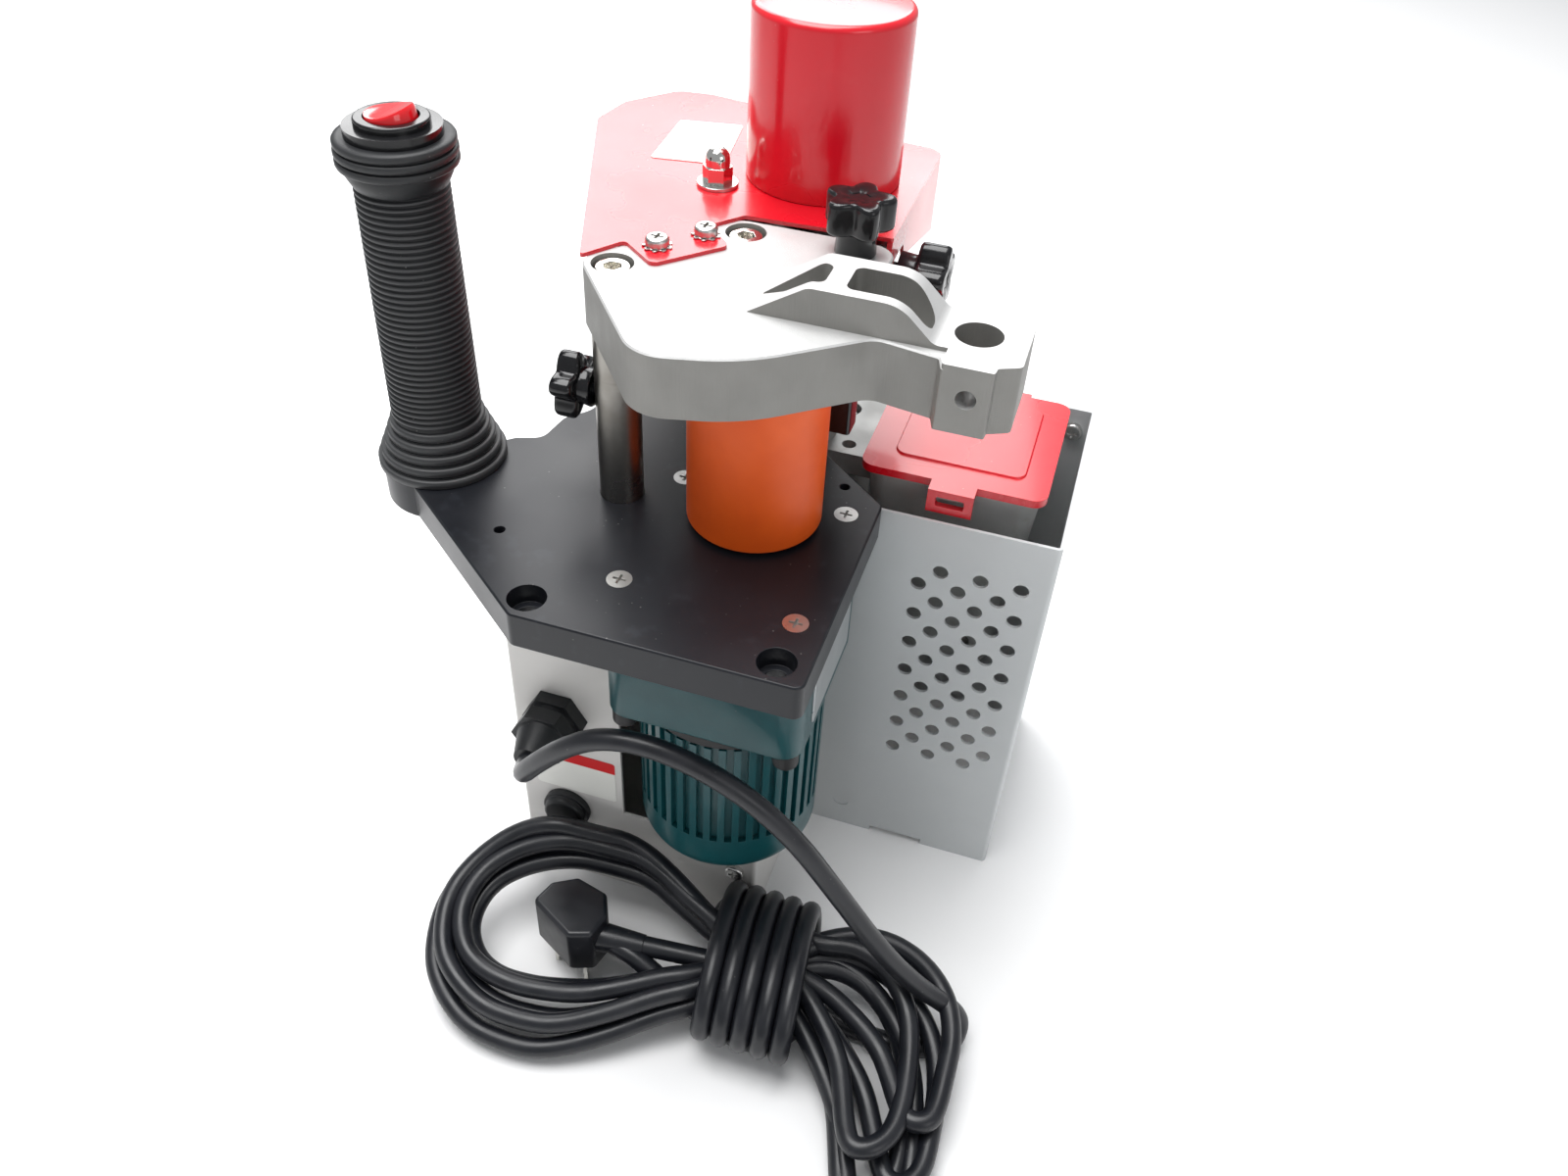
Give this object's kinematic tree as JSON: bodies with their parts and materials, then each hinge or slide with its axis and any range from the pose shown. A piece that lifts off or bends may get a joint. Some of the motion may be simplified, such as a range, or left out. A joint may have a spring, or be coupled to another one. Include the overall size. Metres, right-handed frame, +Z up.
{
  "type": "portable edge banding machine",
  "caption": "Hand-held edge banding machine: feed roller, heated glue roller and pot under a red cover, gear motor, grip handle and coiled cord.",
  "frame": {"origin": "on the floor, straight under the feed motor's axis", "axes": "+X to the tape-reel boss, +Y to the back of the machine, +Z up"},
  "size_m": [0.281, 0.3259, 0.367],
  "materials": {
    "black_plate": "black anodised and ground, satin",
    "zinc": "bright zinc plate",
    "black_steel": "black oxide",
    "green_paint": "teal-green stoved enamel, gloss",
    "laminations": "varnished laminations",
    "copper_wire": "enamelled copper",
    "bearing_steel": "ground steel",
    "nameplate": "blank brushed plate",
    "machined_aluminium": "turned",
    "orange_rubber": "smooth silicone rubber",
    "dull_steel": "dull turned steel",
    "nickel": "nickel plate",
    "cast_aluminium": "fine blasted casting",
    "black_plastic": "moulded",
    "bronze": "sintered bronze",
    "red_paint": "gloss red enamel",
    "sticker": "blank printed film",
    "pot_grey": "bare light-grey casting",
    "grey_guard": "silver-grey powder coat",
    "warm_grey": "light warm-grey powder coat",
    "board_green": "circuit board",
    "black_rubber": "moulded rubber",
    "red_plastic": "translucent red rocker",
    "cord_black": "glossy sheath"
  },
  "bodies": {
    "root": {"acorn_nut": "nickel", "base_plate": "black_plate", "cabinet_back_cover": "warm_grey", "cable_gland": "black_rubber", "cap_screws": "nickel", "columns": "dull_steel", "control_cabinet": "warm_grey", "controller_board": "board_green", "cord_hank": "cord_black", "cover_stud": "zinc", "cover_washers": "zinc", "feed_bearings": "bearing_steel", "gear_cover": "red_paint", "gear_plate": "machined_aluminium", "gear_plate_posts": "dull_steel", "gear_plate_screws": "zinc", "gearbox_housing": "green_paint", "gland_locknut": "black_plastic", "glue_bushes": "bronze", "glue_motor": "laminations", "glue_pot": "pot_grey", "handle_grip": "black_rubber", "handle_tube": "dull_steel", "heaters": "dull_steel", "hinge_pin": "dull_steel", "labels": "sticker", "motor_bearings": "bearing_steel", "motor_bracket": "zinc", "motor_can": "red_paint", "motor_end_bell": "black_steel", "motor_housing": "green_paint", "motor_nameplate": "nameplate", "motor_nuts": "black_steel", "motor_screws": "zinc", "motor_stator": "laminations", "motor_windings": "copper_wire", "pan_screws": "zinc", "perforated_guard": "grey_guard", "plug": "cord_black", "plug_pins": "nickel", "power_cord": "cord_black", "socket_boot": "black_rubber", "switch_bezel": "black_plastic", "switch_body": "black_plastic", "tape_presser": "black_plastic", "top_arm": "cast_aluminium"},
    "feed_roller": {"feed_shaft": "bearing_steel", "feed_hub": "machined_aluminium", "feed_sleeve": "orange_rubber"},
    "lay_gear": {"lay_gear": "bearing_steel"},
    "motor_rotor": {"motor_rotor": "laminations"},
    "glue_roller": {"glue_roller": "dull_steel", "glue_gear": "bearing_steel"},
    "glue_drive": {"glue_pinion": "bearing_steel"},
    "knob_top": {"knob_top": "black_plastic"},
    "knob_right": {"knob_right": "black_plastic"},
    "knob_left": {"knob_left": "black_plastic"},
    "rocker": {"rocker_switch": "red_plastic"},
    "pot_lid": {"pot_lid": "red_paint"}
  },
  "joints": [
    {"name": "feed_roller_spin", "type": "hinge", "parent": "root", "child": "feed_roller", "pos_m": [0, 0.02, 0.24], "axis": [0, 0, 1], "continuous": true},
    {"name": "lay_gear_spin", "type": "hinge", "parent": "root", "child": "lay_gear", "pos_m": [0.01497, 0.01, 0.173], "axis": [0, 0, 1], "continuous": true},
    {"name": "motor_spin", "type": "hinge", "parent": "root", "child": "motor_rotor", "pos_m": [0, 0, 0.11], "axis": [0, 0, 1], "continuous": true},
    {"name": "glue_roller_spin", "type": "hinge", "parent": "root", "child": "glue_roller", "pos_m": [0.0041, 0.0918, 0.24], "axis": [0, 0, 1], "continuous": true},
    {"name": "glue_drive_spin", "type": "hinge", "parent": "root", "child": "glue_drive", "pos_m": [-0.0066, 0.1133, 0.285], "axis": [0, 0, 1], "continuous": true},
    {"name": "knob_top_turn", "type": "hinge", "parent": "root", "child": "knob_top", "pos_m": [0.022, 0.056, 0.3], "axis": [0, 0, 1], "range_deg": [0, 540]},
    {"name": "knob_right_turn", "type": "hinge", "parent": "root", "child": "knob_right", "pos_m": [0.03, 0.082, 0.285], "axis": [1, 0, 0], "range_deg": [0, 540]},
    {"name": "knob_left_turn", "type": "hinge", "parent": "root", "child": "knob_left", "pos_m": [-0.06, 0.016, 0.25], "axis": [-1, 0, 0], "range_deg": [0, 540]},
    {"name": "rocker_tilt", "type": "hinge", "parent": "root", "child": "rocker", "pos_m": [-0.129, 0.013, 0.3391], "axis": [0, 1, 0], "range_deg": [0, 24]},
    {"name": "lid_swing", "type": "hinge", "parent": "root", "child": "pot_lid", "pos_m": [0.0685, 0.1395, 0.202], "axis": [-1, 0, 0], "range_deg": [0, 50]}
  ],
  "couplings": [
    {"joint": "lay_gear_spin", "follows": "feed_roller_spin", "ratio": -2.4615},
    {"joint": "motor_spin", "follows": "feed_roller_spin", "ratio": 6.0592},
    {"joint": "glue_drive_spin", "follows": "glue_roller_spin", "ratio": -1.6667}
  ]
}
